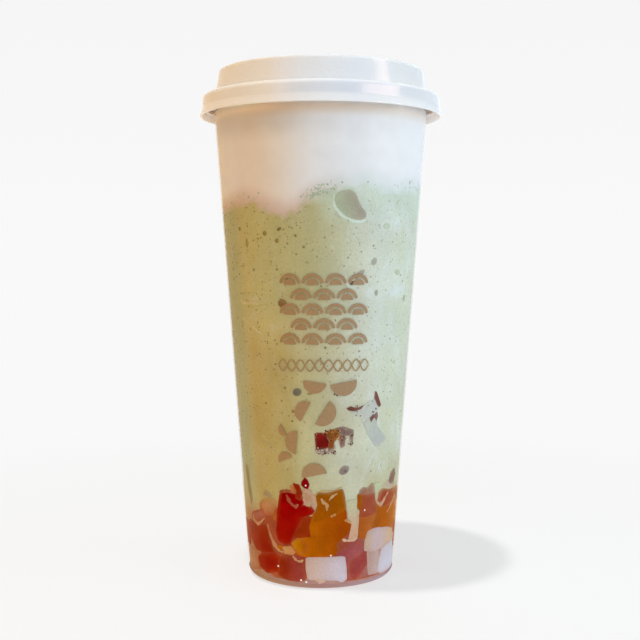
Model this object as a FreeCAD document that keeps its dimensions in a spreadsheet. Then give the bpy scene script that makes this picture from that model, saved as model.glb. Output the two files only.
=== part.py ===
"""Matcha smoothie in a frosted takeaway cup with a white press-on lid.

The cup is a thin injection-moulded cone with a hooked rim. The lid is one
moulded shell: a flared skirt that snaps under the rim, a flat shoulder that
rests on it, a plug ring that seals inside the mouth and a raised crown.
Inside are a heap of jelly cubes, the matcha drink and a cap of cream that
meets it along an uneven line.

Millimetres, +Z up, the origin on the cup's axis at the level it stands on,
-Y the front.
"""
import FreeCAD, Part

import math
import os

import Sketcher

# Driving sizes: name, value. Angles are in degrees.
SIZES = {
    # cup
    "cup_height": 191.6,
    "base_radius": 29.34,
    "mouth_radius": 43.19,
    "cup_wall": 0.7,
    "floor_thickness": 1.2,
    "base_rounding": 3.0,
    "foot_radius": 23.5,
    "foot_depth": 1.2,
    "foot_slope": 1.2,
    # the hooked rim
    "rim_overhang": 3.0,
    "rim_thickness": 1.0,
    "rim_drop": 3.7,
    "rim_rounding": 0.4,
    # lid
    "lid_wall": 1.0,
    "skirt_clearance": 0.3,
    "skirt_flare": 1.25,
    "skirt_length": 7.4,
    "snap_clearance": 0.15,
    "snap_grip": 0.3,
    "snap_height": 0.9,
    "crease_bulge": 0.36,
    "shoulder_rounding": 1.85,
    "shoulder_width": 4.85,
    "crown_height": 9.54,
    "crown_draft": 1.65,
    "crown_rounding": 0.8,
    "crest_width": 3.6,
    "recess_depth": 2.6,
    "recess_draft": 0.8,
    "plug_clearance": 0.15,
    "plug_depth": 3.0,
    "score_length": 18.0,
    "score_width": 0.7,
    "score_depth": 0.6,
    # contents
    "headspace": 5.6,
    "cream_line": 149.7,
    "jelly_cube": 12.0,
    "jelly_tiers": 3,
    "jelly_spacing": 1.14,
    "jelly_tilt": 20.0,
    "jelly_core_inset": 8.5,
}

# The cream's lower edge: waves round the wall as (waves per turn, height, phase).
CREAM_WAVES = ((1, 5.6, 90.0), (4, 2.2, 118.0), (7, 1.9, 52.0))
CREAM_GRID = 33

ORIGIN_AXIS = -1
VERTICAL_AXIS = -2
START, END = 1, 2

doc = FreeCAD.newDocument("matcha_smoothie")


def make_sheet():
    """The spreadsheet of driving sizes, one named cell for each."""
    sheet = doc.addObject("Spreadsheet::Sheet", "sizes")
    for row, (name, size) in enumerate(SIZES.items(), start=1):
        sheet.set("A%d" % row, name)
        sheet.set("B%d" % row, str(size))
        sheet.setAlias("B%d" % row, name)
    doc.recompute()
    return sheet


sheet = make_sheet()


def value(expression):
    """The number that an expression of the sheet's cells has now."""
    return float(sheet.evalExpression(expression))


# Places that more than one piece uses, each worked out from the sheet.
FLOOR_TOP = "(sizes.foot_depth + sizes.floor_thickness)"
FILL_LEVEL = "(sizes.cup_height - sizes.headspace)"
RIM_RADIUS = "(sizes.mouth_radius + sizes.rim_overhang)"


def outer_radius(height):
    """Expression for the cup's outer radius at a height: a straight cone."""
    return ("(sizes.base_radius + (sizes.mouth_radius - sizes.base_radius)"
            " * (%s) / sizes.cup_height)" % height)


def inner_radius(height):
    """Expression for the cup's inner radius at a height."""
    return "(%s - sizes.cup_wall)" % outer_radius(height)


def origin_plane(body, role):
    """One of a body's own origin planes, by its role."""
    return next(item for item in body.Origin.OriginFeatures if item.Role == role)


def tie(sketch, kind, corner, expression):
    """Hold one coordinate of a sketch corner at an expression of the sheet."""
    size = value(expression)
    if abs(size) < 1e-9:
        axis = VERTICAL_AXIS if kind == "DistanceX" else ORIGIN_AXIS
        sketch.addConstraint(Sketcher.Constraint("PointOnObject", corner, START, axis))
        return
    index = sketch.addConstraint(
        Sketcher.Constraint(kind, ORIGIN_AXIS, START, corner, START, size))
    name = "%s_%d" % ("across" if kind == "DistanceX" else "up", corner)
    sketch.renameConstraint(index, name)
    sketch.setExpression("Constraints." + name, expression)


def outline(body, name, role, corners, lift=None):
    """A closed outline of straight lines with every corner tied to the sheet."""
    sketch = body.newObject("Sketcher::SketchObject", name)
    sketch.AttachmentSupport = (origin_plane(body, role), [""])
    sketch.MapMode = "FlatFace"
    if lift:
        sketch.setExpression("AttachmentOffset.Base.z", lift)
    points = [FreeCAD.Vector(value(x), value(y), 0) for x, y in corners]
    for start, end in zip(points, points[1:] + points[:1]):
        sketch.addGeometry(Part.LineSegment(start, end))
    for index, (x, y) in enumerate(corners):
        following = (index + 1) % len(corners)
        sketch.addConstraint(
            Sketcher.Constraint("Coincident", index, END, following, START))
        tie(sketch, "DistanceX", index, x)
        tie(sketch, "DistanceY", index, y)
    return sketch


def turned(name, corners):
    """A body turned about Z from a section outline in the XZ plane."""
    body = doc.addObject("PartDesign::Body", name)
    body.Label = name
    sketch = outline(body, name + "_section", "XZ_Plane", corners)
    turn = body.newObject("PartDesign::Revolution", name + "_turn")
    turn.Profile = sketch
    turn.ReferenceAxis = (sketch, ["V_Axis"])
    turn.Angle = 360.0
    doc.recompute()
    return body


def ring_edge(shape, radius, height):
    """The name of the circular edge of a shape at a radius and height."""
    for index, edge in enumerate(shape.Edges, start=1):
        curve = edge.Curve
        if not isinstance(curve, Part.Circle):
            continue
        if abs(curve.Radius - radius) < 1e-3 and abs(curve.Center.z - height) < 1e-3:
            return "Edge%d" % index
    raise ValueError("no ring edge at radius %.3f, height %.3f" % (radius, height))


def round_rings(body, name, radius, rings):
    """Fillet the circular edges at the given (radius, height) expressions."""
    base = body.Tip
    fillet = body.newObject("PartDesign::Fillet", name)
    edges = [ring_edge(base.Shape, value(r), value(z)) for r, z in rings]
    fillet.Base = (base, edges)
    fillet.setExpression("Radius", radius)
    doc.recompute()


# Cup: a thin cone on a raised floor, with a rim that turns out and down.
def make_cup():
    top = "sizes.cup_height"
    foot = "sizes.foot_radius"
    hook_foot = "(sizes.cup_height - sizes.rim_drop)"
    flange_under = "(sizes.cup_height - sizes.rim_thickness)"
    hook_inside = "(%s - sizes.cup_wall)" % RIM_RADIUS
    body = turned("cup", [
        ("0", "sizes.foot_depth"),
        (foot + " - sizes.foot_slope", "sizes.foot_depth"),
        (foot, "0"),
        ("sizes.base_radius", "0"),
        (outer_radius(flange_under), flange_under),
        (hook_inside, flange_under),
        (hook_inside, hook_foot),
        (RIM_RADIUS, hook_foot),
        (RIM_RADIUS, top),
        (inner_radius(top), top),
        (inner_radius(FLOOR_TOP), FLOOR_TOP),
        ("0", FLOOR_TOP),
    ])
    round_rings(body, "base_corner", "sizes.base_rounding",
                [("sizes.base_radius", "0")])
    round_rings(body, "floor_corner", "sizes.base_rounding - sizes.cup_wall",
                [(inner_radius(FLOOR_TOP), FLOOR_TOP)])
    round_rings(body, "foot_corners", "sizes.foot_depth / 3",
                [(foot, "0"), (foot + " - sizes.foot_slope", "sizes.foot_depth")])
    round_rings(body, "rim_corners", "sizes.rim_rounding",
                [(RIM_RADIUS, top), (inner_radius(top), top)])
    round_rings(body, "hook_corners", "sizes.rim_rounding * 0.6",
                [(RIM_RADIUS, hook_foot), (hook_inside, flange_under)])
    return body


# Lid: one moulded shell that snaps under the rim and plugs the mouth.
def make_lid():
    wall = "sizes.lid_wall"
    under = "sizes.cup_height"
    shoulder = "(sizes.cup_height + sizes.lid_wall)"
    skirt_inside = "(%s + sizes.skirt_clearance)" % RIM_RADIUS
    skirt_outside = "(%s + sizes.lid_wall)" % skirt_inside
    lip_radius = "(%s + sizes.skirt_flare)" % skirt_outside
    lip = "(sizes.cup_height - sizes.skirt_length)"
    snap_top = "(sizes.cup_height - sizes.rim_drop - sizes.snap_clearance)"
    snap_crest = "(%s - sizes.snap_height / 2)" % snap_top
    snap_foot = "(%s - sizes.snap_height)" % snap_top
    snap_radius = "(%s - sizes.snap_grip)" % RIM_RADIUS
    crease = snap_crest
    crease_radius = "(%s + sizes.crease_bulge)" % skirt_outside
    crown_base = "(%s - sizes.shoulder_width)" % skirt_outside
    crown_top = "(%s - sizes.crown_draft)" % crown_base
    top = "(%s + sizes.crown_height)" % shoulder
    crest_inside = "(%s - sizes.crest_width)" % crown_top
    panel = "(%s - sizes.recess_depth)" % top
    panel_radius = "(%s - sizes.recess_draft)" % crest_inside
    plug_foot = "(sizes.cup_height - sizes.plug_depth)"

    def plug_radius(height):
        return "(%s - sizes.plug_clearance)" % inner_radius(height)

    body = turned("lid", [
        # outside, from the lip up and in over the crown
        (lip_radius + " - " + wall, lip),
        (lip_radius, lip),
        (crease_radius, crease),
        (skirt_outside, shoulder),
        (crown_base, shoulder),
        (crown_top, top),
        (crest_inside, top),
        (panel_radius, panel),
        ("0", panel),
        # inside, from the panel back out and down to the lip
        ("0", panel + " - " + wall),
        (panel_radius + " + " + wall, panel + " - " + wall),
        (crest_inside + " + " + wall, top + " - " + wall),
        (crown_top + " - " + wall, top + " - " + wall),
        (plug_radius(under) + " - " + wall, under),
        (plug_radius(plug_foot) + " - " + wall, plug_foot),
        (plug_radius(plug_foot), plug_foot),
        (plug_radius(under), under),
        (skirt_inside, under),
        (skirt_inside, snap_top),
        (snap_radius, snap_crest),
        (skirt_inside, snap_foot),
    ])
    round_rings(body, "shoulder_round", "sizes.shoulder_rounding",
                [(skirt_outside, shoulder)])
    round_rings(body, "shoulder_inner_round", "sizes.rim_rounding * 0.8",
                [(skirt_inside, under)])
    round_rings(body, "crown_rounds", "sizes.crown_rounding",
                [(crown_base, shoulder), (crown_top, top), (crest_inside, top),
                 (panel_radius, panel)])
    round_rings(body, "crease_round", "sizes.crown_rounding * 2",
                [(crease_radius, crease)])
    round_rings(body, "lip_round", "sizes.lid_wall * 0.35",
                [(lip_radius, lip)])
    score_straw_cross(body, panel)
    return body


def score_straw_cross(body, panel):
    """The straw cross: two shallow cuts that leave the panel closed."""
    reach = "sizes.score_length / 2"
    half = "sizes.score_width / 2"
    corners = [(reach, half), (half, half), (half, reach)]
    cross = []
    for quarter in range(4):
        for x, y in corners:
            cross.append((x, y))
        corners = [("-(%s)" % y, x) for x, y in corners]
    before = body.Shape.Volume
    sketch = outline(body, "straw_cross", "XY_Plane", cross, lift=panel)
    cut = body.newObject("PartDesign::Pocket", "straw_score")
    cut.Profile = sketch
    cut.setExpression("Length", "sizes.score_depth")
    doc.recompute()
    if body.Shape.Volume >= before:
        raise ValueError("the straw cross cut nothing")


# Contents: everything inside the cup up to the fill level, split three ways.
def make_filling():
    """The whole inside of the cup up to the level it is filled to."""
    body = turned("filling", [
        ("0", FLOOR_TOP),
        (inner_radius(FLOOR_TOP), FLOOR_TOP),
        (inner_radius(FILL_LEVEL), FILL_LEVEL),
        ("0", FILL_LEVEL),
    ])
    round_rings(body, "filling_foot", "sizes.base_rounding - sizes.cup_wall",
                [(inner_radius(FLOOR_TOP), FLOOR_TOP)])
    return body


def cream_height(x, y):
    """Height of the cream's underside: waves that grow from the axis outwards."""
    radius = value(inner_radius("sizes.cream_line"))
    share = math.hypot(x, y) / radius
    turn = math.atan2(x, -y)
    height = value("sizes.cream_line")
    for count, size, phase in CREAM_WAVES:
        fade = min(share, 1.0) ** min(count, 3)
        height += size * fade * math.cos(count * turn - math.radians(phase))
    return height


def make_cream_region():
    """The space above a smooth wavy surface that spans the mouth of the cup."""
    reach = value(RIM_RADIUS)
    steps = [reach * (2 * index / (CREAM_GRID - 1) - 1) for index in range(CREAM_GRID)]
    grid = [[FreeCAD.Vector(x, y, cream_height(x, y)) for y in steps] for x in steps]
    surface = Part.BSplineSurface()
    surface.interpolate(grid)
    region = doc.addObject("Part::Feature", "cream_region")
    region.Shape = surface.toShape().extrude(FreeCAD.Vector(0, 0, value("sizes.cup_height")))
    return region


def uneven(index, strand):
    """A fixed, evenly spread number between -1 and 1 for each index and strand."""
    return 2 * math.modf(0.5 + index * 0.618034 + strand * 0.754878)[0] - 1


def jelly_cube(number, ring, turn, height):
    """One cube of the heap, at a distance from the axis, a turn and a height."""
    cube = doc.addObject("Part::Box", "cube_%02d" % number)
    edges = [1 + 0.12 * uneven(number, strand) for strand in (1, 2, 3)]
    for side, share in zip(("Length", "Width", "Height"), edges):
        cube.setExpression(side, "sizes.jelly_cube * %.3f" % share)
    tilt = value("sizes.jelly_tilt")
    angles = [math.degrees(turn) + tilt * uneven(number, 4),
              tilt * uneven(number, 5),
              tilt * uneven(number, 6)]
    turned_by = FreeCAD.Rotation(*angles)
    half = value("sizes.jelly_cube") / 2
    middle = FreeCAD.Vector(*[half * share for share in edges])
    place = FreeCAD.Vector(ring * math.cos(turn), ring * math.sin(turn), height)
    cube.Placement = FreeCAD.Placement(place - turned_by.multVec(middle), turned_by)
    return cube


def make_jelly_pile():
    """Tiers of tilted cubes round a solid core, reaching past the cup's wall."""
    edge = value("sizes.jelly_cube")
    pitch = edge * value("sizes.jelly_spacing")
    tiers = int(value("sizes.jelly_tiers"))
    cubes = []
    for tier in range(tiers):
        height = value(FLOOR_TOP) + edge * (tier + 0.5)
        wall = value(inner_radius(str(height)))
        ring = wall - 0.42 * edge
        count = int(2 * math.pi * ring / pitch)
        for place in range(count):
            number = len(cubes)
            turn = 2 * math.pi * (place + 0.5 * tier + 0.12 * uneven(number, 7)) / count
            rise = height - 0.22 * edge * (1 + uneven(number, 8))
            cubes.append(jelly_cube(number, ring, turn, rise))
    crown_ring = edge * 1.15
    for place in range(5):
        number = len(cubes)
        turn = 2 * math.pi * place / 5
        rise = height - 0.1 * edge * (1 + 2 * uneven(number, 8))
        cubes.append(jelly_cube(number, crown_ring, turn, rise))
    core = doc.addObject("Part::Cone", "jelly_core")
    core_height = "sizes.jelly_cube * (sizes.jelly_tiers - 0.6)"
    core.setExpression("Radius1", inner_radius(FLOOR_TOP) + " - sizes.jelly_core_inset")
    core.setExpression("Radius2", inner_radius(core_height) + " - sizes.jelly_core_inset")
    core.setExpression("Height", core_height)
    core.setExpression("Placement.Base.z", FLOOR_TOP)
    pile = doc.addObject("Part::MultiFuse", "jelly_pile")
    pile.Shapes = cubes + [core]
    doc.recompute()
    return pile


def split(kind, name, base, tool):
    """A boolean of two objects of the document, as one named sub-part."""
    piece = doc.addObject("Part::" + kind, name)
    piece.Base = base
    piece.Tool = tool
    piece.Label = name
    doc.recompute()
    return piece


def make_contents():
    """Cream over matcha over the jelly heap, face to face with each other."""
    filling = make_filling()
    cream_region = make_cream_region()
    pile = make_jelly_pile()
    cream = split("Common", "cream_layer", filling, cream_region)
    below_cream = split("Cut", "below_cream", filling, cream_region)
    round_cubes = split("Cut", "round_cubes", below_cream, pile)
    matcha = doc.addObject("Part::Feature", "matcha_layer")
    matcha.Label = "matcha_layer"
    matcha.Shape = max(round_cubes.Shape.Solids, key=lambda solid: solid.Volume)
    heap = split("Cut", "jelly_heap", below_cream, matcha)
    return [cream, matcha, heap]


def check_document():
    """Stop if any object of the document failed to build."""
    for item in doc.Objects:
        if "Invalid" in item.State or "Error" in item.State:
            raise ValueError("%s failed: %s" % (item.Name, item.State))


def write_parts(pieces):
    """Write each sub-part to parts/NODE.step, after testing every one."""
    check_document()
    for piece in pieces:
        shape = piece.Shape
        if shape.isNull() or not shape.isValid() or not shape.Solids:
            raise ValueError("%s has no valid solid" % piece.Label)
    os.makedirs("parts", exist_ok=True)
    for piece in pieces:
        piece.Shape.exportStep("parts/%s.step" % piece.Label)
        box = piece.Shape.BoundBox
        print("%-14s %d solid(s) %9.1f mm3  z %7.2f to %7.2f  r %.2f" % (
            piece.Label, len(piece.Shape.Solids), piece.Shape.Volume,
            box.ZMin, box.ZMax, box.XMax))


write_parts([make_cup(), make_lid()] + make_contents())
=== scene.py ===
# %% [markdown]
# # Matcha smoothie in a lidded takeaway cup
# The real thing is a tall frosted polypropylene cup with a white press-on lid. Inside are
# three layers: dairy cream on top, a milky matcha drink, and a heap of cut jelly at the foot.
# The cup and the lid are hard and regular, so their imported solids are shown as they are, with
# better finishes. Everything inside is soft and uneven, so it is modelled here.

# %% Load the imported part
import bpy
import numpy as np
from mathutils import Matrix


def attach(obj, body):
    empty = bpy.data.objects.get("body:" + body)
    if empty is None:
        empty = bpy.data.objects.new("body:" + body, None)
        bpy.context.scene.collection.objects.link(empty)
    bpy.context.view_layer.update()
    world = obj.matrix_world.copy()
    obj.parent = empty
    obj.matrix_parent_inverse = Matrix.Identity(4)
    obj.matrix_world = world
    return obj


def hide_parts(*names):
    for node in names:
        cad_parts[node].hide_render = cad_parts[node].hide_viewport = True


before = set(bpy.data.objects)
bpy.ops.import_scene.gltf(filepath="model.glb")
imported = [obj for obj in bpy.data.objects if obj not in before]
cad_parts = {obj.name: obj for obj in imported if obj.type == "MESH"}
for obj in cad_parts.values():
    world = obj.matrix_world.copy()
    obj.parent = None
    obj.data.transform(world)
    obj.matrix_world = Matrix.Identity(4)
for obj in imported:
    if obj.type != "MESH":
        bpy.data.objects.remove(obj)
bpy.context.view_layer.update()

# %% [markdown]
# ## The wall as a map
# Everything that can be seen of the drink lies against the inside of a cone. A place on it is
# an angle round the cup and a height, like a place on a rolled-up map, and a level says how far
# it stands out from the inner face of the wall. All shapes below are drawn on that map in
# millimetres and rolled up at the end.

# %% Sizes of the cone and the rolling-up
MM = 0.001
CUP_HEIGHT = 191.6                  # mm
FOOT_RADIUS, MOUTH_RADIUS = 29.34, 43.19   # outer face of the wall, bottom and top
WALL = 0.7                          # thickness of the frosted wall
FLOOR_TOP, FILL_LEVEL = 2.4, 186.0
SKIN = 0.2                          # how far the drink reaches into the wall, so no air shows


def inner_radius(height):
    """Radius of the wall's inner face: foot + (mouth - foot) * height / cup height - wall."""
    return FOOT_RADIUS + (MOUTH_RADIUS - FOOT_RADIUS) * height / CUP_HEIGHT - WALL


def degree(height):
    """Millimetres along the wall's inner face for one degree at a height."""
    return np.radians(1) * inner_radius(height)


def rolled_up(angle, height, level):
    """A place on the wall: r = inner radius + level, then (r sin a, -r cos a, height), a = 0 in front."""
    radius = inner_radius(height) + level
    return np.stack((radius * np.sin(angle), -radius * np.cos(angle), height), -1)


def on_wall(x, y, turn, degrees, height):
    """Corners on the wall from x, y in mm about a place, turned by degrees."""
    spin = np.radians(turn)
    flat = np.stack((x * np.cos(spin) - y * np.sin(spin), x * np.sin(spin) + y * np.cos(spin)), 1)
    return flat / [degree(height), 1] + [degrees, height]


# Lower edge of the cream round the cup, as it happened to settle: degrees, mm.
CREAM_EDGE = np.array([
    (-180, 150), (-150, 152), (-125, 148), (-105, 144.6), (-90, 145.3), (-62, 147), (-50, 148.6), (-40, 148.4),
    (-33, 146.4), (-26, 144.5), (-19, 143.8), (-14, 145), (-9, 147.8), (-3, 150.2), (5, 151.6), (10, 153.4),
    (18, 154), (26, 155), (37, 153.4), (50, 153), (62, 153.8), (80, 153.6), (100, 151), (125, 153.5),
    (150, 149), (180, 150)])


def cream_line(angle):
    """Height of the cream's lower edge at an angle, read between the listed places round the cup."""
    return np.interp(np.degrees(angle), *CREAM_EDGE.T, period=360)


def step(low, high, value):
    """Smooth step: 0 below low, 1 above high, 3t^2 - 2t^3 between."""
    t = np.clip((value - low) / (high - low), 0, 1)
    return t * t * (3 - 2 * t)


print("inner radius at floor and fill, mm:", round(inner_radius(FLOOR_TOP), 2), round(inner_radius(FILL_LEVEL), 2))

# %% [markdown]
# ## Meshes from whole arrays
# A closed body is a stack of rings with a pole at each end. Once the rings are an array of
# points, the faces are always the same pattern, so one function serves every piece here.

# %% Rings to mesh
def ring_faces(rows, columns, first=0):
    """Quads between neighbouring rings; the last column joins the first. The two poles follow the rings."""
    row, column = np.meshgrid(np.arange(rows - 1), np.arange(columns), indexing="ij")
    beside = (column + 1) % columns
    quads = np.stack((row * columns + column, row * columns + beside,
                      (row + 1) * columns + beside, (row + 1) * columns + column), -1).reshape(-1, 4)
    j, k = np.arange(columns), (np.arange(columns) + 1) % columns
    start, end = rows * columns, rows * columns + 1
    fans = np.concatenate((np.stack((np.full(columns, start), k, j), -1),
                           np.stack((np.full(columns, end), (rows - 1) * columns + j,
                                     (rows - 1) * columns + k), -1)))
    return (quads + first).tolist() + (fans + first).tolist()


def closed_body(rings):
    """Points of a closed body: its rings, then the mean of the first ring and of the last as poles."""
    return np.concatenate((rings.reshape(-1, 3), rings[0].mean(0)[None], rings[-1].mean(0)[None]))


def make_piece(name, points, faces, material, replaced=()):
    """A mesh object at the origin from points in mm, riding on the part, with its finish's slot."""
    mesh = bpy.data.meshes.new(name)
    mesh.from_pydata(points * MM, [], faces)
    mesh.shade_smooth()
    mesh.materials.append(material)
    piece = bpy.data.objects.new(name, mesh)
    bpy.context.scene.collection.objects.link(piece)
    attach(piece, "root")
    if replaced:
        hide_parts(*replaced)
    print(name, "-", len(points), "points,", len(faces), "faces")
    return piece


def paint(piece, name, colours):
    """Writes a linear colour for every point of the mesh into a colour attribute."""
    layer = piece.data.color_attributes.new(name, "FLOAT_COLOR", "POINT")
    with_alpha = np.concatenate((colours, np.ones((len(colours), 1))), 1)
    layer.data.foreach_set("color", with_alpha.astype(np.float32).ravel())


# %% [markdown]
# ## Colour and nodes
# Colours are picked as sRGB hex values, the way a paint chart gives them, and one function
# turns them to the linear values that light works with. A finish is a tree of small steps, so a
# class with one method for each kind of step lets every finish below read as a recipe.

# %% Colour and node helpers
def linear(hex_colour):
    """sRGB hex to linear: c/12.92 up to 0.04045, else ((c + 0.055)/1.055)^2.4."""
    c = np.array([int(hex_colour[i:i + 2], 16) for i in (0, 2, 4)]) / 255
    return np.where(c <= 0.04045, c / 12.92, ((c + 0.055) / 1.055) ** 2.4)


def blend(a, b, share):
    """Mixes two colours, or arrays of them, by a share from 0 to 1."""
    share = np.asarray(share)[..., None]
    return np.asarray(a) * (1 - share) + np.asarray(b) * share


def tinted(tone, factors, share):
    """A tone times three factors, taken up by a share from 0 to 1."""
    return tone * blend([1.0, 1.0, 1.0], factors, share)


def rgba(hex_colour):
    """A hex colour as the four linear numbers a colour socket takes."""
    return (*linear(hex_colour), 1.0)


class Recipe:
    """A finish while it is written: each method adds a node and gives the socket of its result."""

    def __init__(self, owner, output="OutputMaterial"):
        """Starts an empty tree, for a new material of this name or for a world."""
        self.owner = bpy.data.materials.new(owner) if isinstance(owner, str) else owner
        self.owner.use_nodes = True
        self.tree = self.owner.node_tree
        self.tree.nodes.clear()
        self.surface = self.node(output).inputs["Surface"]

    def node(self, kind, links=None, **settings):
        """Any node: links gives its inputs, each a socket to join or a value to set."""
        made = self.tree.nodes.new("ShaderNode" + kind)
        for key, value in settings.items():
            setattr(made, key, value)
        for key, value in (links or {}).items():
            if isinstance(value, bpy.types.NodeSocket):
                self.tree.links.new(value, made.inputs[key])
            else:
                made.inputs[key].default_value = value
        return made

    def place(self):
        return self.node("TexCoord").outputs["Object"]

    def axes(self, place):
        return self.node("SeparateXYZ", {0: place}).outputs

    def ray(self, kind):
        """1 for rays of this kind, 0 for others."""
        return self.node("LightPath").outputs[f"Is {kind} Ray"]

    def painted(self, name, output="Fac"):
        """An attribute that the mesh carries."""
        return self.node("Attribute", attribute_name=name).outputs[output]

    def math(self, work, *values, **settings):
        return self.node("Math", dict(enumerate(values)), operation=work, **settings).outputs[0]

    def vector(self, work, *values, output=0):
        return self.node("VectorMath", dict(enumerate(values)), operation=work).outputs[output]

    def scaled(self, colour, factor):
        return self.node("VectorMath", {0: colour, "Scale": factor}, operation="SCALE").outputs[0]

    def fade(self, value, low, high, least=0.0, most=1.0, **settings):
        """least at low, most at high, straight between and level beyond."""
        return self.node("MapRange", {"Value": value, "From Min": low, "From Max": high, "To Min": least,
                                      "To Max": most}, **settings).outputs[0]

    def noise(self, place, size, detail, least=None, most=None, **inputs):
        """Noise with features about size mm across; with least and most its middle part runs between them."""
        scale = 1 / MM / size
        made = self.node("TexNoise", {"Vector": place, "Scale": scale, "Detail": detail, **inputs}).outputs["Fac"]
        return made if least is None else self.fade(made, 0.3, 0.7, least, most)

    def mix(self, share, one, other):
        return self.node("Mix", {0: share, 6: one, 7: other}, data_type="RGBA").outputs[2]

    def three_tones(self, share, tones):
        """Three colours by a share from 0, far left, to 1, far right."""
        ramp = self.node("ValToRGB", {0: share})
        ramp.color_ramp.elements.new(0.5)
        for stop, tone in zip(ramp.color_ramp.elements, tones):
            stop.color = tone
        return ramp.outputs[0]

    def bump(self, height, strength, distance):
        return self.node("Bump", {"Height": height, "Strength": strength, "Distance": distance}).outputs[0]

    def shader(self, kind, inputs=None):
        return self.node(kind, inputs).outputs[0]

    def between(self, share, one, other):
        """Two shaders mixed by a share."""
        return self.shader("MixShader", {0: share, 1: one, 2: other})

    def finish(self, shader):
        """Joins the result to the output and gives back the material."""
        self.tree.links.new(shader, self.surface)
        return self.owner


def refinish(node, material):
    """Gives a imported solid, shown as it is, one finish."""
    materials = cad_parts[node].data.materials
    materials.clear()
    materials.append(material)
    print(node, "finished as", material.name)


# %% [markdown]
# ## Camera
# A tall cup on a table is usually taken from a little above its middle with a short telephoto,
# so the foot and the lid both show as flat ellipses. The lens is fixed by the cup's own taper.

# %% Camera
camera = bpy.data.objects.new("camera", bpy.data.cameras.new("camera"))
bpy.context.scene.collection.objects.link(camera)
camera.data.sensor_width, camera.data.lens = 36.0, 59.69     # mm
camera.data.shift_x = -0.0011                # the cup stands a hair to the right of the middle
camera.location = (0.0, -0.4325, 0.127)
LOOKING_DOWN = 3.21                          # degrees
camera.rotation_euler = (np.radians(90 - LOOKING_DOWN), 0, 0)
camera.data.clip_start = 0.01
bpy.context.scene.camera = camera
print("camera", round(camera.data.angle * 57.3, 1), "degrees wide")

# %% [markdown]
# ## Light, floor and backdrop
# The room is bright all round: warm lamp light from the left, cool daylight from the right. A
# sky of three tones, mixed by direction, lights the cup softly, a window in four panes gives
# the gloss its shape, and a small lamp overhead throws the lid's soft shadow. The eye sees
# a plain pale backdrop instead of that sky.

# %% Sky and backdrop
BACKDROP, NEAR_FLOOR = rgba("F5F5F5"), rgba("F9F9F9")
ROOM = (1.14, 0.72, 0.32, 1), (1.35, 1.54, 1.66, 1), (0.95, 1.05, 1.16, 1)       # light from left, middle, right
world = bpy.data.worlds.new("studio")
bpy.context.scene.world = world
sky = Recipe(world, "OutputWorld")
seen = sky.math("MAXIMUM", sky.ray("Camera"), sky.ray("Transmission"))
towards = sky.axes(sky.node("TexCoord").outputs["Generated"])
all_round = sky.three_tones(sky.fade(towards["X"], -0.8, 0.8), ROOM)
room = sky.shader("Background", {"Color": all_round, "Strength": sky.fade(towards["Z"], 0, 1, 1.0, 0.12)})
pale = sky.mix(sky.fade(towards["Z"], 0.02, 0.28), NEAR_FLOOR, BACKDROP)
sky.finish(sky.between(seen, room, sky.shader("Background", {"Color": pale, "Strength": 1.0})))


# %% Lamps
MIDDLE = np.array((0, 0, 0.1))               # m, where every lamp points
LAMP_DISTANCE = 1.1                          # m


def panel_lamp(name, place, size, colour, radiance, height=None):
    """A flat lamp facing the middle. Its power is radiance * pi * area, so radiance stays as written."""
    data = bpy.data.lights.new(name, "AREA")
    data.shape, data.size, data.size_y = "RECTANGLE", size, height or size
    data.color = colour
    data.energy = radiance * np.pi * size * (height or size)
    lamp = bpy.data.objects.new(name, data)
    bpy.context.scene.collection.objects.link(lamp)
    away = np.array(place, float) - MIDDLE
    lamp.location = place
    lamp.rotation_euler = (np.arctan2(np.hypot(away[0], away[1]), away[2]), 0, np.arctan2(away[0], -away[1]))
    return lamp


def round_about(azimuth, elevation):
    """A place seen from the middle: azimuth from the front towards the right, in degrees."""
    a, e = np.radians(azimuth), np.radians(elevation)
    return MIDDLE + LAMP_DISTANCE * np.array((np.cos(e) * np.sin(a), -np.cos(e) * np.cos(a), np.sin(e)))


# The panes, the last one a tall pane's upper part, are only there to be mirrored; one broad soft lamp
# gives the light they stand for. Their spans are azimuths and elevations in degrees.
PANES = ((38.0, 42.0, 11, 24), (44.0, 55.5, 9, 25), (57.0, 77.5, 7, 25.5), (66.5, 77.0, 26, 33))
for number, (left, right, bottom, top) in enumerate(PANES):
    wide, tall = (2 * LAMP_DISTANCE * np.tan(np.radians(span) / 2) for span in (right - left, top - bottom))
    pane = panel_lamp(f"window_pane_{number}", round_about((left + right) / 2, (bottom + top) / 2), wide,
                      (1.0, 0.68, 0.56), 6.5, height=tall)
    pane.visible_diffuse = False
daylight = panel_lamp("daylight", round_about(69, 14), 0.84, (0.84, 0.92, 1.0), 1.5, height=0.75)
daylight.visible_glossy = False
overhead = panel_lamp("overhead", (-0.17, -0.16, 1.4), 0.06, (1.0, 0.98, 0.95), 950.0)
overhead.visible_glossy = False
# Small ceiling lights and a thin wall light, again only to be mirrored: they dot the lid's ridges with glints.
for number, azimuth in enumerate((-77, -40, -20, 46, 94)):
    glint = panel_lamp(f"ceiling_light_{number}", round_about(azimuth, 50), 0.02, (1, 1, 1), 900.0)
    glint.visible_diffuse = False
glint = panel_lamp("wall_light", round_about(-40, 12), 0.02, (1, 1, 1), 18.0, height=0.5)
glint.visible_diffuse = False

# %% [markdown]
# ## Floor
# The floor shows two faces. To the eye it is a pale sheet that takes the shadow and fades into
# the backdrop. To the cup it is the lower half of the bright room, with the same warm and cool
# sides, so the foot of the cup isn't lit by glare from below.


# %% Floor
def floor_disc(radius, rings, columns):
    """Points of a flat disc on a polar grid: radius grows with the square of the ring number."""
    r = radius * np.linspace(0.02, 1, rings)[:, None] ** 2
    a = np.linspace(0, 2 * np.pi, columns, endpoint=False)[None]
    return np.stack((r * np.cos(a), r * np.sin(a), np.full_like(r * a, -0.0002)), -1).reshape(-1, 3)


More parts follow.
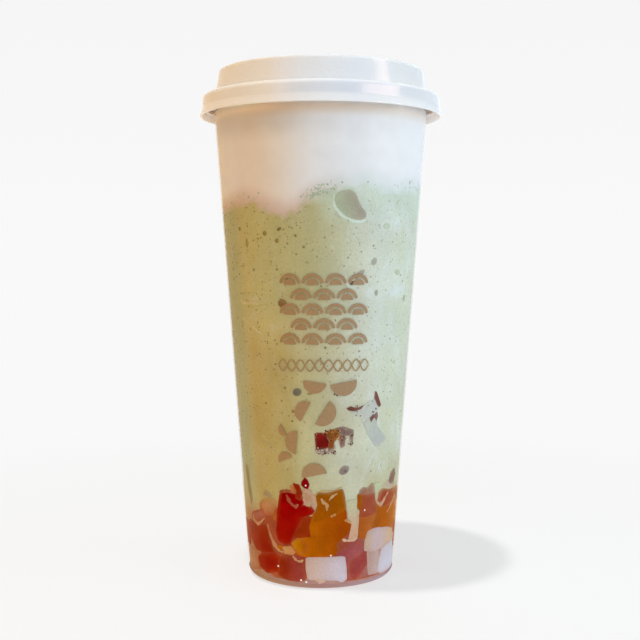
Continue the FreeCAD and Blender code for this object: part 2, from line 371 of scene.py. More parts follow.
matte = Recipe("matte studio floor")
seen = matte.math("MAXIMUM", matte.ray("Camera"), matte.ray("Glossy"))
seen = matte.math("MAXIMUM", seen, matte.ray("Transmission"))
place = matte.place()
own_light = matte.fade(matte.vector("LENGTH", place, output="Value"), 0.12, 0.40, 0.62, 1.0,
                       interpolation_type="SMOOTHSTEP")
sheet = matte.between(own_light, matte.shader("BsdfDiffuse", {"Color": rgba("EFF0F2")}),
                      matte.shader("Emission", {"Color": NEAR_FLOOR, "Strength": 1.0}))
all_round = matte.three_tones(matte.fade(matte.axes(place)["X"], -0.13, 0.13), ROOM)
room = matte.shader("Emission", {"Color": all_round, "Strength": 0.8})
matte.finish(matte.between(seen, room, sheet))
floor_mesh = bpy.data.meshes.new("floor")
rows, columns = 24, 96
floor_faces = [f for f in ring_faces(rows, columns) if len(f) == 4]
floor_mesh.from_pydata(floor_disc(6.0, rows, columns), [], floor_faces + [list(range(columns))])
floor_mesh.materials.append(matte.owner)
floor = bpy.data.objects.new("floor", floor_mesh)
bpy.context.scene.collection.objects.link(floor)

# %% [markdown]
# ## Frosted cup wall: moulded polypropylene
# The cup is thin random-copolymer polypropylene with a finely blasted outer face. Such a wall
# lets nearly all light through, adds a faint milky veil, and its gloss is so wide that a window
# turns into a pale haze. So the finish is mostly see-through, with a little white scatter and a
# rough gloss that grows towards the edges. Near the floor the moulding is thick and looks milkier.

# %% Frosted polypropylene
frosted = Recipe("frosted polypropylene, blasted face")
place = frosted.place()
height, across = (frosted.axes(place)[axis] for axis in "ZX")
# Blasting grit is about 0.15 mm; drawn at 0.5 mm so that it shows at all.
grit_bump = frosted.bump(frosted.noise(place, 0.5, 2.0), 0.15, 0.00005)
# The thick foot takes its colour from the jelly on it: tan, rosy and mauve from left to right.
foot = frosted.three_tones(frosted.fade(across, -0.028, 0.028), [rgba(t) for t in ("AC825B", "A3766B", "A98E91")])
milky = frosted.shader("BsdfDiffuse", {"Color": foot, "Normal": grit_bump})
thick = frosted.fade(height, 0.0024, 0.0023, 0.002, 0.93)
# Light on its way to the jelly passes the translucent foot, so no dark ring shows above it.
on_its_way = frosted.math("MAXIMUM", frosted.ray("Shadow"), frosted.ray("Diffuse"))
thick = frosted.math("MULTIPLY", thick, frosted.math("SUBTRACT", 1.0, on_its_way))
veil = frosted.between(thick, frosted.shader("BsdfTransparent", {"Color": (1, 1, 1, 1)}), milky)
# Over the heap the red and amber jelly behind the wall swallows the blue and some green of its gloss.
gloss_tone = frosted.mix(frosted.fade(height, 0.034, 0.046), (1.0, 0.82, 0.4, 1), (1, 1, 1, 1))
haze_gloss = frosted.shader("BsdfGlossy", {"Color": gloss_tone, "Roughness": 0.42, "Normal": grit_bump})
# Wetted from inside and blasted outside, the wall hardly mirrors face-on and only shines at its edges.
edge_gloss = frosted.fade(frosted.shader("Fresnel", {"IOR": 1.3}), 0.018, 1.0, 0.0, 0.42)
# Towards the thick foot the wall isn't blasted as finely and hardly shines.
edge_gloss = frosted.math("MULTIPLY", edge_gloss, frosted.fade(height, 0.003, 0.015))
frosted = frosted.finish(frosted.between(edge_gloss, veil, haze_gloss))
refinish("cup", frosted)

# %% [markdown]
# ## White lid: thermoformed polypropylene
# The lid is white sheet, drawn warm over a tool, so it is glossy with a slight orange-peel from
# the sheet and small sparkles where the skin is dimpled. White pigment makes it opaque.

# %% White lid finish
white = Recipe("white thermoformed polypropylene")
place = white.place()
# Orange peel of drawn sheet: dimples about 1 mm apart.
peel_bump = white.bump(white.noise(place, 1.1, 3.0, Roughness=0.6), 0.45, 0.0002)
shade = white.mix(white.noise(place, 18, 2.0), rgba("E2E1E0"), rgba("E8E7E7"))
# Painted light in the base colour: warm on the lamp's side, faintly lavender in the middle.
axes = white.axes(place)
share = white.fade(axes["X"], -0.049, 0.049)
painted_room_light = white.node("ValToRGB", {0: share})
for at, tone in ((0.22, (0.96, 0.91, 0.83)), (0.30, (0.985, 0.93, 0.86)), (0.36, (0.99, 0.97, 0.97)),
                 (0.42, (0.955, 0.985, 1.02)), (0.62, (0.94, 0.99, 1.05)), (0.80, (1.0, 1.02, 1.02))):
    painted_room_light.color_ramp.elements.new(at).color = (*tone, 1)
painted_room_light.color_ramp.elements[0].color = (0.96, 0.93, 0.90, 1)
painted_room_light.color_ramp.elements[-1].color = (1.0, 1.0, 1.0, 1)
shade = white.vector("MULTIPLY", shade, painted_room_light.outputs[0])
# Painted shade: the skirt is a little greyer in front, from just left of the middle to near the right edge.
SKIRT_MIDDLE = 0.1895                        # m
off = white.math("ABSOLUTE", white.math("SUBTRACT", axes["Z"], SKIRT_MIDDLE))
drawn = white.math("MULTIPLY", white.fade(off, 0.0024, 0.0014), white.fade(share, 0.34, 0.42))
drawn = white.math("MULTIPLY", drawn, white.fade(share, 0.92, 0.80))
shade = white.mix(drawn, shade, white.vector("MULTIPLY", shade, (0.92, 0.94, 0.98)))
# A painted glow on the skirt's inner faces, an emission, stands in for light that comes through the sheet: a mask
# for faces that look inwards or down.
SKIRT_FROM = 0.0432                          # m from the axis
flat = white.vector("MULTIPLY", place, (1, 1, 0))
facing = white.node("NewGeometry").outputs["Normal"]
outwards = white.vector("DOT_PRODUCT", white.vector("NORMALIZE", flat), facing, output="Value")
skirt_only = white.math("GREATER_THAN", white.vector("LENGTH", flat, output="Value"), SKIRT_FROM)
painted_glow = white.math("MULTIPLY", white.math("MULTIPLY", white.fade(outwards, 0.25, -0.1), skirt_only), 0.09)
# A millimetre of white sheet lets light through, shown by subsurface scatter; with the painted glow it lifts the
# shade under the lip.
lid_white = white.finish(white.shader("BsdfPrincipled", {
    "Base Color": shade, "Roughness": 0.035, "IOR": 1.49, "Normal": peel_bump,
    "Emission Color": (1.0, 0.46, 0.10, 1), "Emission Strength": painted_glow, "Subsurface Weight": 0.7,
    "Subsurface Radius": (1.0, 0.9, 0.8), "Subsurface Scale": 0.002}))
refinish("lid", lid_white)

# %% [markdown]
# ## Tones of the drink
# The drink isn't one colour. Matcha is yellow-green where it is well mixed and paler, mintier
# where milk gathers; on the right the daylight's sheen on the wall is painted into its pale tone.
# Towards the jelly it picks up juice and turns peach, then rosy. The cream is off-white, with
# painted warm lamp light left of the middle, a painted rosy-brown shade just above the matcha on
# one side and painted shade under the lid. These slow changes are functions of angle and height,
# so that every piece in the cup can read the same tones.

# %% Tone functions
def drink_tint(angle, height):
    """Matcha in four tones by angle, the palest, on the right, milkier and with the daylight's sheen painted in;
    then peach below 34 mm, rosy below 20 mm, tan at the far left.
    """
    turn = np.sin(angle)
    tone = blend(linear("B6BA90"), linear("CABF87"), step(-0.90, -0.74, turn))
    tone = blend(tone, linear("C5BE95"), step(-0.6, 0.1, turn))
    # Paler to the right: milkier drink, with the daylight's sheen on the wall painted in.
    tone = blend(tone, linear("D9DDCF"), step(-0.15, 0.7, turn))
    low_right = step(110, 60, height) * step(-0.2, 0.4, turn)
    tone = tinted(tone, [0.95, 0.91, 0.84], low_right)
    low_left = step(112, 84, height) * step(-0.86, -0.72, turn) * step(-0.15, -0.42, turn)
    tone = tinted(tone, [0.88, 0.80, 0.64], low_left)
    well_mixed = step(100, 115, height) * step(-0.86, -0.7, turn) * step(0.45, 0.2, turn)
    tone = tinted(tone, [0.92, 0.95, 0.92], well_mixed)
    tone = tinted(tone, [0.94, 0.95, 0.86], step(0.45, 0.85, turn))
    minty = np.maximum(0.55 * step(-0.08, 0.12, turn) * step(138, 147, height),
                       0.6 * step(-0.16, -0.02, turn) * step(146.5, 149.5, height))
    tone = blend(tone, linear("CBD9C8"), minty)
    juicy = step(54, 44, height) * step(0.3, 0.6, turn)
    tone = tinted(tone, [0.88, 0.82, 0.70], juicy)
    peach = blend(linear("B98A5C"), linear("CEA686"), step(-0.95, -0.6, turn))
    tone = blend(tone, peach, step(34, 25, height))
    foot = blend(linear("B07C54"), linear("AF7C70"), step(-0.9, -0.4, turn))
    return blend(tone, foot, step(21, 11, height))


def cream_tint(angle, height):
    """Cream in three tones by angle, the warm one left of the middle painted lamp light; painted rosy-brown shade
    within 9 mm of its lower edge on the left, painted light and shade near the lid, and painted tan shade in the
    last 6 mm under the lid."""
    above, turn = height - cream_line(angle), np.sin(angle)
    side = step(-0.35, 0.35, turn)
    # Painted shade: rosy-brown on the left just above the matcha, pale green-grey on the right.
    painted_low_shade = blend(linear("D5BDB0"), linear("DCE2DE"), side)
    # The warm tone left of the middle is painted lamp light.
    clean = blend(linear("EAECF4"), linear("E9DED2"), step(-0.95, -0.6, turn))
    clean = blend(blend(clean, linear("EBECEE"), step(-0.6, 0.0, turn)), linear("F0EFEE"), step(0.2, 0.7, turn))
    # Painted light near the top at the left and right, and painted shade from 170 mm up, less near the top.
    top = step(181, 184.5, height)
    painted_top_light = 1 + top * (0.34 * step(-0.15, -0.7, turn) + 0.2 * step(0.55, 0.9, turn))
    dim = 0.07 + 0.10 * step(0.0, -0.35, turn) - 0.04 * step(0.1, 0.5, turn)
    shaded = painted_top_light * (1 - dim * step(170, 179, height) * (1 - 0.6 * top))
    clean = np.minimum(clean * shaded[..., None], 0.93)
    # Painted tan shade under the lid.
    under_lid = step(179, 184.2, height) * (1 - 0.7 * step(183.6, 184.8, height))
    under_lid = under_lid * (0.32 - 0.20 * step(-0.35, -0.75, turn) - 0.12 * step(0.2, 0.7, turn))
    painted_lid_shade = tinted(clean, [0.93, 0.49, 0.02], under_lid)
    return blend(painted_low_shade, painted_lid_shade, step(-1, 9, above))


print("matcha in front at mid height:", drink_tint(0.0, 100.0).round(3))

# %% [markdown]
# ## Finish of cream and matcha
# Both are opaque dairy liquids. Where they meet, cream sinks in as soft clouds and matcha climbs
# in specks, so the border is a noisy ramp over a few millimetres, not a line. Fine froth gives
# the matcha a grain of about half a millimetre and pale cloudy blotches of about a centimetre.

# %% Cream and matcha finish
def drink_finish(name):
    """One recipe for both layers, so that the border between the two solids can't be seen."""
    drink = Recipe(name)
    place = drink.place()
    # Slow clouds, 6 mm, and froth, 1.3 mm, push the border up and down.
    clouds = drink.noise(place, 6, 3.0)
    pushed = drink.math("MULTIPLY_ADD", clouds, 7.0, drink.painted("above_line"))
    pushed = drink.math("MULTIPLY_ADD", drink.noise(place, 1.3, 2.0), 3.0, pushed)
    border = drink.fade(pushed, 3.1, 6.9, interpolation_type="SMOOTHSTEP")
    # Milk gathers in blotches about 9 mm across, stretched upwards.
    stretched = drink.node("Mapping", {"Vector": place, "Scale": (1, 1, 0.55)}).outputs[0]
    blotch = drink.noise(stretched, 9, 5.0, Roughness=0.62, Distortion=0.6)
    poured = drink.math("MULTIPLY", drink.painted("poured"), blotch)
    blotch = drink.math("MULTIPLY_ADD", drink.fade(blotch, 0.48, 0.76), drink.painted("milk_and_sheen"), poured,
                        use_clamp=True)
    matcha = drink.mix(blotch, drink.painted("matcha_tint", "Color"), rgba("DBE1DA"))
    # Tea powder and froth have a grain of 0.3 mm; drawn at 0.9 mm so that it shows.
    grain = drink.noise(place, 0.9, 4.0, 0.90, 1.08, Roughness=0.7)
    grained = drink.scaled(matcha, drink.math("MULTIPLY", grain, drink.noise(place, 14, 3.0, 0.95, 1.05)))
    cream = drink.scaled(drink.painted("cream_tint", "Color"), drink.fade(clouds, 0.3, 0.7, 0.97, 1.02))
    return drink.finish(drink.shader("BsdfPrincipled", {
        "Base Color": drink.mix(border, grained, cream), "Roughness": 0.6, "IOR": 1.34,
        "Specular IOR Level": 0.15}))


cream_foam = drink_finish("sweet cream foam")
matcha_milk = drink_finish("milky matcha")

# %% [markdown]
# ## Cream and matcha bodies
# Each layer is a turned body whose rings follow the wall, reaching a fifth of a millimetre into
# it. The border between them follows the wavy cream line, and both close at the axis.

# %% Layer bodies
def layer_body(low_edge, high_edge, rows, columns=270):
    """Rings up a layer: a lower face from the axis out, the side up the wall, an upper face back in.
    low_edge and high_edge give the height of the two rims for each angle."""
    angle = np.linspace(0, 2 * np.pi, columns, endpoint=False)
    low, high = low_edge(angle), high_edge(angle)
    share = np.concatenate(([0, 0.0005], np.linspace(0, 1, rows)[1:-1], [0.9995, 1]))[:, None]
    side = rolled_up(angle[None] + 0 * share, low + (high - low) * share, SKIN)
    inward = np.array([0.15, 0.5, 0.85, 0.999])[:, None, None]
    flat = np.array([1.0, 1.0, 0.0])
    under = side[:1] * (inward * flat + [0, 0, 1])
    over = side[-1:] * (inward[::-1] * flat + [0, 0, 1])
    return np.concatenate((under, side, over))


def level_at(height):
    """A flat edge: the same height at every angle."""
    return lambda angle: np.full_like(angle, height)


HALF_WAY_RADIUS = 38                         # mm, turns an angle into millimetres along the wall
# Where milk was poured down the wall: degrees, height, half width, half height in mm, strength.
POURED_MILK = (
    (29.7, 115.3, 2.2, 1.8, 1.6), (46, 114.2, 4.0, 1.5, 1.7), (57, 115.6, 4.5, 2.6, 1.8),
    (47.5, 104, 1.6, 4.0, 1.5), (37.6, 96, 2.4, 4.0, 1.1), (28.8, 143, 1.8, 1.8, 1.1),
    (47.4, 140.2, 2.6, 3.2, 1.4), (57, 143, 3.0, 4.0, 1.1), (64, 128, 3.0, 6.0, 0.9), (52, 77, 2.4, 5.0, 1.1),
    (58, 60, 2.0, 5.0, 1.0), (-44, 112.4, 6.0, 0.8, 0.35), (-46, 105.5, 2.5, 2.0, 0.3),
    (-30, 102, 3.0, 1.6, 0.3), (-60, 121, 2.2, 2.6, 0.3), (-62, 84, 1.5, 6.0, 0.25))


def dress_layer(piece, points):
    """Gives every point of a layer its tones, its height above the cream line, and how milky it is; on the right
    the milk share also carries the daylight's painted sheen.
    """
    angle, height = np.arctan2(points[:, 0], -points[:, 1]), points[:, 2]
    paint(piece, "matcha_tint", drink_tint(angle, height))
    paint(piece, "cream_tint", cream_tint(angle, height))
    # More milk on the right: partly real, partly the daylight's sheen painted in.
    side = 0.14 + 0.8 * step(-0.1, 0.7, np.sin(angle)) * step(30, 60, height)
    poured = sum(strength * np.exp(-((angle - np.radians(at)) * HALF_WAY_RADIUS / wide) ** 2
                                   - ((height - up) / tall) ** 2)
                 for at, up, wide, tall, strength in POURED_MILK)
    for name, values in (("above_line", height - cream_line(angle)), ("milk_and_sheen", side), ("poured", poured)):
        layer = piece.data.attributes.new(name, "FLOAT", "POINT")
        layer.data.foreach_set("value", values.astype(np.float32))


for name, low_edge, high_edge, rows, finish, slot, node in (
        ("matcha", level_at(FLOOR_TOP - 0.2), cream_line, 150, matcha_milk, "matcha_drink", "matcha_layer"),
        ("cream", cream_line, level_at(FILL_LEVEL), 44, cream_foam, "cream", "cream_layer")):
    rings = layer_body(low_edge, high_edge, rows)
    points = closed_body(rings)
    piece = make_piece(name, points, ring_faces(*rings.shape[:2]), finish, (node,))
    dress_layer(piece, points)

# %% [markdown]
# ## Jelly finish
# The cubes are agar jelly: red ones of hibiscus colour, amber ones of tea or mango colour, and
# white coconut ones. Pressed against the wall they show as flat clean facets; a hair further in,
# the drink covers them. Each point of a cube carries its own tone. The finish adds the slight
# cloudiness and grain of set jelly, and takes away the little light that a deep gel swallows.

# %% Jelly finish
def jelly_finish(name, clouding, roughness=0.35, swallowed=(0, 0, 0)):
    """Set jelly: the body's own tone times a 4 mm clouding and a 0.7 mm grain, less the red, green and
    blue that a deep gel swallows."""
    gel = Recipe(name)
    place = gel.place()
    cloud = gel.noise(place, 4, 3.0, 1 - clouding, 1 + clouding)
    both = gel.math("MULTIPLY", cloud, gel.noise(place, 0.7, 3.0, 0.93, 1.07))
    colour = gel.vector("SUBTRACT", gel.scaled(gel.painted("tone", "Color"), both), swallowed)
    return gel.finish(gel.shader("BsdfPrincipled", {
        "Base Color": gel.vector("MAXIMUM", colour, (0, 0, 0)), "Roughness": roughness, "IOR": 1.35,
        "Specular IOR Level": 0.02}))


finishes = {"red": jelly_finish("red agar jelly", 0.12, swallowed=(0.026, 0.018, 0.009)),
            "amber": jelly_finish("amber agar jelly", 0.10, swallowed=(0.0, 0.012, 0.012)),
            "white": jelly_finish("white coconut jelly", 0.03), "sunk": jelly_finish("sunk red jelly", 0.12)}

# %% [markdown]
# ## A cube pressed against the wall
# What can be seen of a cube is the facet that touches the wall. So a cube is drawn by the
# corners of that facet on the wall map, with its corners slightly rounded, and goes back into
# the drink from there. Cubes with a higher level lie in front of the ones beside them.

# %% Pressed bodies
def smooth_outline(corners, count, cuts, share):
    """Closed outline through cut corners (each cut replaces a corner by two points at this share of
    its sides), spaced evenly along its length, running anticlockwise."""
    p = np.array(corners, float)
    for _ in range(cuts):
        after = np.roll(p, -1, 0)
        p = np.stack((p * (1 - share) + after * share, p * share + after * (1 - share)), 1).reshape(-1, 2)
    closed = np.vstack((p, p[:1]))
    run = np.concatenate(([0], np.cumsum(np.linalg.norm(np.diff(closed, axis=0), axis=1))))
    at = np.linspace(0, run[-1], count, endpoint=False)
    p = np.stack((np.interp(at, run, closed[:, 0]), np.interp(at, run, closed[:, 1])), 1)
    turning = np.sum(p[:, 0] * np.roll(p[:, 1], -1) - p[:, 1] * np.roll(p[:, 0], -1))
    return p if turning > 0 else p[::-1]


def pressed_body(corners, level, depth, soft, tones, lean=0.0, cuts=2, share=0.08, count=56, rim=0.35,
                 around=drink_tint):
    """Rings of a body behind a facet: back face, side, rounded rim, then rings in to the facet's middle.
    corners are (degrees, mm). The tone goes from the first of the two hex tones to the second along the
    lean, and fades into what is around it over soft millimetres. Returns points in mm, a linear colour
    for each, and the counts."""
    flat = np.array(corners, float)
    arc = degree(flat[:, 1].mean())
    outline = smooth_outline(flat * [arc, 1], count, cuts, share)
    middle = outline.mean(0)
    reach = outline - middle
    inner = np.array([0.988, 0.97, 0.94, 0.9, 0.84, 0.76, 0.66, 0.52, 0.36, 0.18])
    scale = np.concatenate(([0.45, 0.9, 1.0, 1.0, 1.0, 0.996], inner))
    inset = np.concatenate(([depth, depth, 0.88 * depth, 0.4 * depth, rim, 0.3 * rim], 0 * inner))
    drawn = middle + reach[None] * scale[:, None, None]
    drawn = np.concatenate((drawn.reshape(-1, 2), middle[None], middle[None]))
    sink = np.concatenate((np.repeat(inset, count), [depth, 0.0]))
    angle = drawn[:, 0] / arc * np.radians(1)
    points = rolled_up(angle, drawn[:, 1], level - sink)
    from_edge = ((1 - scale)[:, None] * np.linalg.norm(reach, axis=1)[None]).ravel()
    from_edge = np.concatenate((from_edge, [0.0, np.linalg.norm(reach, axis=1).min()]))
    mist = np.exp(-from_edge / max(soft, 0.01)) * np.clip(0.1 + 0.45 * soft, 0, 0.9) * (soft > 0)
    turn = np.radians(lean)
    across = (drawn - middle) @ [np.cos(turn), np.sin(turn)]
    tone = blend(linear(tones[:6]), linear(tones[-6:]), step(-0.9, 0.9, across / np.abs(across).max()))
    return points, blend(tone, around(angle, drawn[:, 1]), mist), len(scale), count


def among_jelly(angle, height):
    """What lies between the cubes: reddish brown juice low down, the drink itself above 34 mm."""
    return blend(linear("B0603C"), drink_tint(angle, height), step(29, 38, height))


def pale_juice(angle, height):
    """What lies round the white cubes: the pale rosy haze they give the juice, the drink itself above 34 mm."""
    return blend(linear("BC9488"), drink_tint(angle, height), step(29, 38, height))


def join_bodies(bodies):
    """Many closed bodies as one mesh: points and tones end to end, faces shifted to match."""
    starts = np.cumsum([0] + [len(b[0]) for b in bodies])
    faces = [f for b, first in zip(bodies, starts) for f in ring_faces(b[2], b[3], int(first))]
    return np.concatenate([b[0] for b in bodies]), np.concatenate([b[1] for b in bodies]), faces


def toned_piece(name, points, tones, faces, finish=finishes["white"], slot="matcha_drink", replaced=()):
    """A piece with its tones painted on; slot is not used."""
    piece = make_piece(name, points, faces, finish, replaced)
    paint(piece, "tone", tones)
    return piece


def make_bodies(name, bodies, finish, slot, replaced=()):
    """One piece from many closed bodies."""
    return toned_piece(name, *join_bodies(bodies), finish, slot, replaced)


# %% [markdown]
# ## The cubes in front, one by one
# The heap is packed by hand-filling, so no rule gives the cubes that show best. They are laid
# out here like a mosaic: level, softness of the edge in mm, two tones with the direction from
# the first to the second, and the facet's corners as (degrees, mm). The lowest levels are
# cubes further in, which fill the gaps with their blurred colour.

# %% Layout of the cubes in front
# Towards the right the tones take in the daylight's sheen on the wall, painted in: that is why the red cubes there
# are mauve.
front_cubes = {
    "red": [
        (0.24, 1.6, "B4603A A84C34", 0, [(-48, 27), (-34, 32), (-20, 24), (-8, 30), (0, 26), (-4, 12),
         (-12, 2.6), (-40, 3), (-50, 8), (-62, 22)]),
        (0.24, 1.8, "A65048 AE7A70", 0, [(6, 14), (14, 21), (28, 21), (46, 14), (58, 13), (56, 3), (30, 2.6),
         (12, 3)]),
        (0.42, 0.6, "A52212 A82A16", -70, [(-30, 38), (-24, 38.5), (-19, 38), (-16, 38.5), (-12, 36.5),
         (-11, 35), (-13, 33.5), (-8, 34), (-3.5, 31), (-7, 29.5), (-12, 29), (-15, 26), (-19, 22),
         (-23, 17.5), (-27, 17), (-33, 18), (-35, 21.5), (-33.5, 27), (-32.5, 32)]),
        (0.43, 0.0, "901A10 9E2212", -70, [(-28, 37.6), (-22, 38), (-14, 36.8), (-12.5, 33.8), (-17, 31.5),
         (-22, 33), (-28, 34)]),
        (0.39, 1.0, "A65A34 A04C44", -30, [(11, 18), (19.5, 21.6), (24, 24.8), (24.5, 20.5), (20, 16.2),
         (13, 14.8)]),
        (0.44, 0.2, "A23C1E A0341A", 90, [(-20, 42), (-15, 41.5), (-12.5, 38), (-14, 35), (-18, 36),
         (-17, 39)]),
        (0.46, 0.2, "8E2019 901A1C", 0, [(-13.5, 42.5), (-11, 44.5), (-9, 43.5), (-7.5, 41.5), (-9, 39.5),
         (-11, 40), (-13.5, 41)]),
        (0.35, 0.8, "A43E1A A2401C", 30, [(-15, 29.5), (-5, 29), (-5, 20), (-17, 19.5), (-22, 20.5),
         (-17, 26)]),
        (0.34, 1.2, "A5544C A65C58", 0, [(10, 14.5), (19, 20.5), (29, 18.8), (36, 17), (39, 9.5), (31, 3.2),
         (22, 2.8), (19, 9)]),
        (0.36, 0.9, "A04840 A24C44", 0, [(22, 10.5), (36, 14.5), (40, 9.5), (31, 4.3), (27, 2.8), (23, 4.3)]),
        (0.42, 0.6, "A4522E AA5A40", 0, [(27, 37.5), (42.5, 36.7), (43.5, 30.5), (44, 28.5), (36, 27.5),
         (29, 27.5), (29, 30.5), (27, 31.5)]),
        (0.34, 0.9, "A8705A B2886E", 20, [(28, 38.6), (31, 39.8), (35, 39.2), (38.5, 41), (42, 40),
         (42.5, 35.5), (27.5, 35.5)]),
        (0.43, 0.7, "A64A30 B46634", 0, [(48.5, 37), (62, 36.5), (79, 35), (86, 30), (66, 31.2), (56, 30.2),
         (48, 30.8), (46, 34.5)]),
        (0.37, 0.9, "A4421E A02E10", -60, [(-66, 24), (-55, 22.7), (-44, 24.2), (-42, 23.5), (-39.5, 16),
         (-36.5, 12.5), (-46, 11.5), (-60, 12.2), (-69, 16), (-75, 21.5)]),
        (0.4, 0.9, "9E3212 A42C12", 0, [(-52, 11.8), (-37, 13.5), (-31.5, 11.5), (-33, 5.6), (-46, 3.8),
         (-55, 5.6), (-58, 9)]),
        (0.36, 0.9, "983412 A0483A", 0, [(-34.5, 11.8), (-17, 13.2), (-12.5, 10.5), (-11.5, 3.6), (-17, 2.7),
         (-27, 2.8), (-35, 4.4)]),
        (0.31, 2.2, "BC8068 B66E5A", -90, [(-63, 27), (-47, 30), (-44, 27), (-53, 24), (-64, 24.5)]),
        (0.4, 0.7, "8C6054 96705E", 60, [(57, 40), (60, 43.2), (66, 44.5), (69, 42), (66, 38.6), (60, 38.5)]),
        (0.29, 1.4, "C09066 B87A4A", 0, [(-80, 12), (-57, 12.4), (-53, 7.5), (-52, 5), (-67, 2.8), (-80, 4)]),
    ],
    "amber": [
        (0.25, 1.0, "B0622C C07034", 0, [(28, 30), (48, 38), (84, 36), (88, 20), (60, 19), (30, 19)]),
        (0.32, 0.6, "C48050 B8642E", 0, [(-22, 41), (-15, 41.5), (-16, 37), (-22, 37.5)]),
        (0.4, 0.55, "A85C06 9A5806", 90, [(-4.5, 37), (-2.5, 38.5), (5, 38.5), (15.5, 40), (17.5, 36.5),
         (18.3, 31.6), (9, 28.8), (-5, 26.5), (-3.5, 32.5)]),
        (0.38, 0.4, "C06C12 A24C06", 0, [(-5, 31), (18.4, 32.2), (19.3, 27), (23.5, 25), (20, 21), (14, 17.5),
         (11, 13), (1, 12.5), (-9, 12.5), (-18, 13.5), (-22.5, 17.5), (-16, 20.5), (-7, 20.5), (-8.5, 25)]),
        (0.41, 1.2, "D08C1C BC640A", 0, [(-22.5, 18), (-17, 20.5), (-12, 19.8), (-9, 16.5), (-13, 13.8),
         (-16, 13.8), (-20.5, 16)]),
        (0.44, 0.2, "A65C1C A45824", 0, [(26.5, 37.2), (30.5, 36.8), (30.5, 32.5), (29, 30.5), (26.5, 31.5)]),
        (0.38, 0.6, "B06028 B86C3A", 0, [(28.5, 28.5), (39, 28.8), (45, 28.8), (41, 22.5), (37, 18.5),
         (28.5, 19.5)]),
        (0.37, 0.6, "AC5E24 BA6822", 0, [(40, 22.5), (44, 28.5), (51, 30.5), (76, 27.5), (78, 21), (53, 21)]),
        (0.4, 0.5, "AE5C08 BE6A1C", 0, [(50, 29.5), (68, 30), (83, 27), (82, 21.5), (58, 21.5), (50, 24.5)]),
        (0.36, 0.8, "C2703C B4541E", 0, [(-37, 29), (-32, 32), (-32, 26), (-37, 26)]),
        (0.43, 0.4, "BC7028 BA6A22", 0, [(-34, 16.6), (-29, 16.6), (-30, 14.6), (-34.5, 14.8)]),
        (0.41, 0.6, "CE9A64 CE905A", 0, [(-30, 16.2), (-22, 17), (-18.5, 14.5), (-21, 13.2), (-28.5, 13.3)]),
        (0.27, 3.0, "C9A070 C88E62", -90, [(-51, 31.5), (-47, 33.6), (-40, 35), (-33, 35), (-33.5, 28),
         (-49, 27)]),
    ],
    "white": [
        (0.43, 0.9, "CCAA9A CABAC1", 0, [(-11.5, 13), (18.5, 13.2), (20, 8), (20.5, 3.5), (16, 2.4), (13, 3.4),
         (-10, 3.8), (-11.5, 8)]),
        (0.45, 1.0, "C6A68E C9B4BA", 0, [(36.5, 21.8), (42, 22.6), (50, 22.4), (50.5, 18), (47, 12.6),
         (40, 13.2), (34, 14), (34, 18)]),
        (0.44, 1.1, "C8B0B0 D0AE8A", 0, [(46, 22.2), (58, 21.6), (70, 19.6), (74, 14.6), (62, 14), (54, 13.2),
         (45.5, 12.9)]),
        (0.42, 1.3, "CAC0C6 C8C2CC", 0, [(53, 13.8), (60, 17), (72, 18), (84, 16), (87, 9), (82, 2.8),
         (55, 2.8), (49, 4), (50, 9)]),
        (0.37, 2.2, "B08E80 C0A8A2", 0, [(36.5, 14), (51, 13.5), (51, 3.4), (39, 3.8)]),
        (0.395, 0.8, "D0A284 C6C09C", 90, [(18.2, 35), (19.3, 28), (22.6, 25.5), (21.4, 22), (20, 19.4),
         (24, 18.8), (28, 19.2), (28.7, 27.5), (27, 31), (27.5, 35.5)]),
        (0.3, 1.2, "B88468 C89A78", 0, [(-13, 39.5), (-4, 38), (-3.2, 34), (-8, 34.6), (-12.4, 33.8),
         (-13.6, 35), (-12.5, 36.5)]),
        (0.45, 0.7, "C2B492 BDC6A2", 90, [(40.6, 40.5), (41.8, 37), (42.8, 33.2), (44.4, 33.2), (45.4, 37),
         (46.4, 40.5)]),
        (0.31, 1.4, "C4B098 B89C8A", 0, [(49, 38), (56, 41), (64, 41.5), (72, 37), (60, 36.5)]),
        (0.3, 0.9, "9A845E A08A64", 0, [(-70, 46), (-64, 46), (-59.5, 32), (-63, 29.5), (-67, 36)]),
        (0.34, 0.6, "A8906A AC9773", 0, [(-43, 38), (-36, 36), (-38, 35), (-46, 35.5)]),
    ],
}
print("cubes laid out by hand:", sum(map(len, front_cubes.values())))


# %% [markdown]
# ## The cubes all round
# The rest of the heap stands much as in the solid: rings of 12 mm cubes, tier by tier, each
# turned and shifted by an even scatter, so that the pattern never repeats.

# %% Cubes round the back
def uneven(number, salt):
    """Even scatter from -1 to 1: twice the fraction of 0.5 + n * 0.618034 + salt * 0.754878, less 1."""
    return 2 * ((0.5 + number * 0.618034 + salt * 0.754878) % 1) - 1


JELLY_TONES = {"red": ("A83820", "A2240F", "AC5436", "A44A3A"), "amber": ("B65406", "CA7C14", "B06028", "AE6A1C"),
               "white": ("DCC4B8", "D2C6CA", "D8BA9C", "D8C8C2")}
CUBE, CUBE_DEPTH = 12, 7.5                   # mm: the side, and how far a cube reaches into the drink
LAID_OUT = (84, 80, 76)                      # degrees either side of the front that each tier leaves to the mosaic


